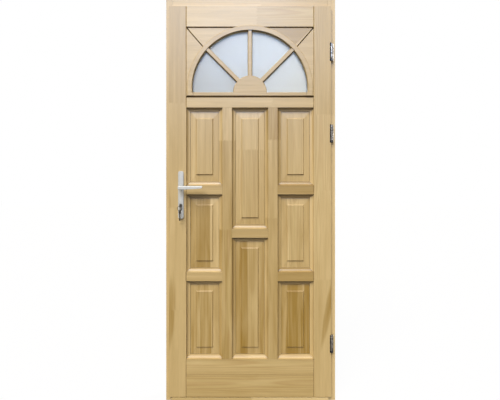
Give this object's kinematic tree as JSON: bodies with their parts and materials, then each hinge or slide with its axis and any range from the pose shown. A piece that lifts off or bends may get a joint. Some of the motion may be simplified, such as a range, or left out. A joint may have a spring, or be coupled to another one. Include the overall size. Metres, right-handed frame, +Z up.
{
  "type": "entrance door with frame",
  "caption": "Pine entrance door with raised panels and an arched sunburst fanlight, hinged in a rebated wooden frame, with a lever handle, lock and key.",
  "frame": {"origin": "underside of the threshold, in the middle of the leaf's width and of the frame's depth", "axes": "+X to the hinge side as seen from the front, +Y into the doorway away from the front, +Z up"},
  "size_m": [0.887, 0.1745, 2.104],
  "materials": {
    "pine_frame": "raw planed",
    "pine_leaf": "raw sanded",
    "pine_panel": "raw sanded",
    "satin_glass": "satin",
    "spacer_aluminium": "mill",
    "seal_rubber": "matt",
    "plated_steel": "zinc plated",
    "hinge_steel": "bright zinc",
    "dark_plastic": "moulded",
    "handle_aluminium": "satin",
    "nickel_brass": "nickel plated",
    "key_steel": "nickel plated"
  },
  "bodies": {
    "frame": {"jamb_lock_side": "pine_frame", "jamb_hinge_side": "pine_frame", "frame_head": "pine_frame", "threshold": "pine_frame", "frame_seal": "seal_rubber", "strike_plate": "plated_steel", "strike_screws": "plated_steel", "hinge_frame_low": "hinge_steel", "hinge_frame_mid": "hinge_steel", "hinge_frame_top": "hinge_steel", "hinge_pins": "plated_steel", "hinge_caps": "dark_plastic"},
    "leaf": {"hinge_leaf_low": "hinge_steel", "hinge_leaf_mid": "hinge_steel", "hinge_leaf_top": "hinge_steel", "stile_lock": "pine_leaf", "stile_hinge": "pine_leaf", "top_rail": "pine_leaf", "mid_rail": "pine_leaf", "bottom_rail_upper": "pine_leaf", "bottom_rail_lower": "pine_leaf", "mullion_left": "pine_leaf", "mullion_right": "pine_leaf", "cross_left_low": "pine_leaf", "cross_left_high": "pine_leaf", "cross_centre": "pine_leaf", "cross_right_low": "pine_leaf", "cross_right_high": "pine_leaf", "panel_left_low": "pine_panel", "panel_left_mid": "pine_panel", "panel_left_top": "pine_panel", "panel_centre_low": "pine_panel", "panel_centre_top": "pine_panel", "panel_right_low": "pine_panel", "panel_right_mid": "pine_panel", "panel_right_top": "pine_panel", "fan_grille_front": "pine_leaf", "fan_grille_back": "pine_leaf", "fan_core": "pine_leaf", "glass_outer": "satin_glass", "glass_inner": "satin_glass", "glass_spacer": "spacer_aluminium", "lock_case": "plated_steel", "lock_forend": "plated_steel", "forend_screws": "plated_steel", "plate_front": "handle_aluminium", "plate_back": "handle_aluminium", "plate_bolts": "plated_steel", "cylinder_body": "nickel_brass"},
    "handle": {"lever_front": "handle_aluminium", "lever_back": "handle_aluminium", "spindle": "plated_steel", "follower": "plated_steel"},
    "latch": {"latch_bolt": "plated_steel"},
    "bolt": {"dead_bolt": "plated_steel"},
    "key": {"cylinder_plug": "nickel_brass", "key": "key_steel"},
    "spare": {"key_ring": "key_steel", "spare_key": "key_steel"}
  },
  "joints": [
    {"name": "leaf_swing", "type": "hinge", "parent": "frame", "child": "leaf", "pos_m": [0.426, -0.061, 1], "axis": [0, 0, 1], "range_deg": [0, 170]},
    {"name": "handle_turn", "type": "hinge", "parent": "leaf", "child": "handle", "pos_m": [-0.359, -0.042, 1.116], "axis": [0, 1, 0], "range_deg": [0, 40], "stiffness_Nm_per_rad": 1.5, "springref_deg": -20.05},
    {"name": "latch_slide", "type": "slide", "parent": "leaf", "child": "latch", "axis": [1, 0, 0], "range_m": [0, 0.011]},
    {"name": "key_turn", "type": "hinge", "parent": "leaf", "child": "key", "pos_m": [-0.359, -0.042, 1.024], "axis": [0, 1, 0], "range_deg": [0, 360]},
    {"name": "bolt_slide", "type": "slide", "parent": "leaf", "child": "bolt", "axis": [-1, 0, 0], "range_m": [0, 0.02]},
    {"name": "spare_swing", "type": "hinge", "parent": "key", "child": "spare", "pos_m": [-0.359, -0.1028, 1.02235], "axis": [1, 0, 0], "range_deg": [-60, 8]}
  ],
  "couplings": [
    {"joint": "latch_slide", "follows": "handle_turn", "m_per_rad": 0.01575},
    {"joint": "bolt_slide", "follows": "key_turn", "m_per_rad": 0.003183}
  ]
}
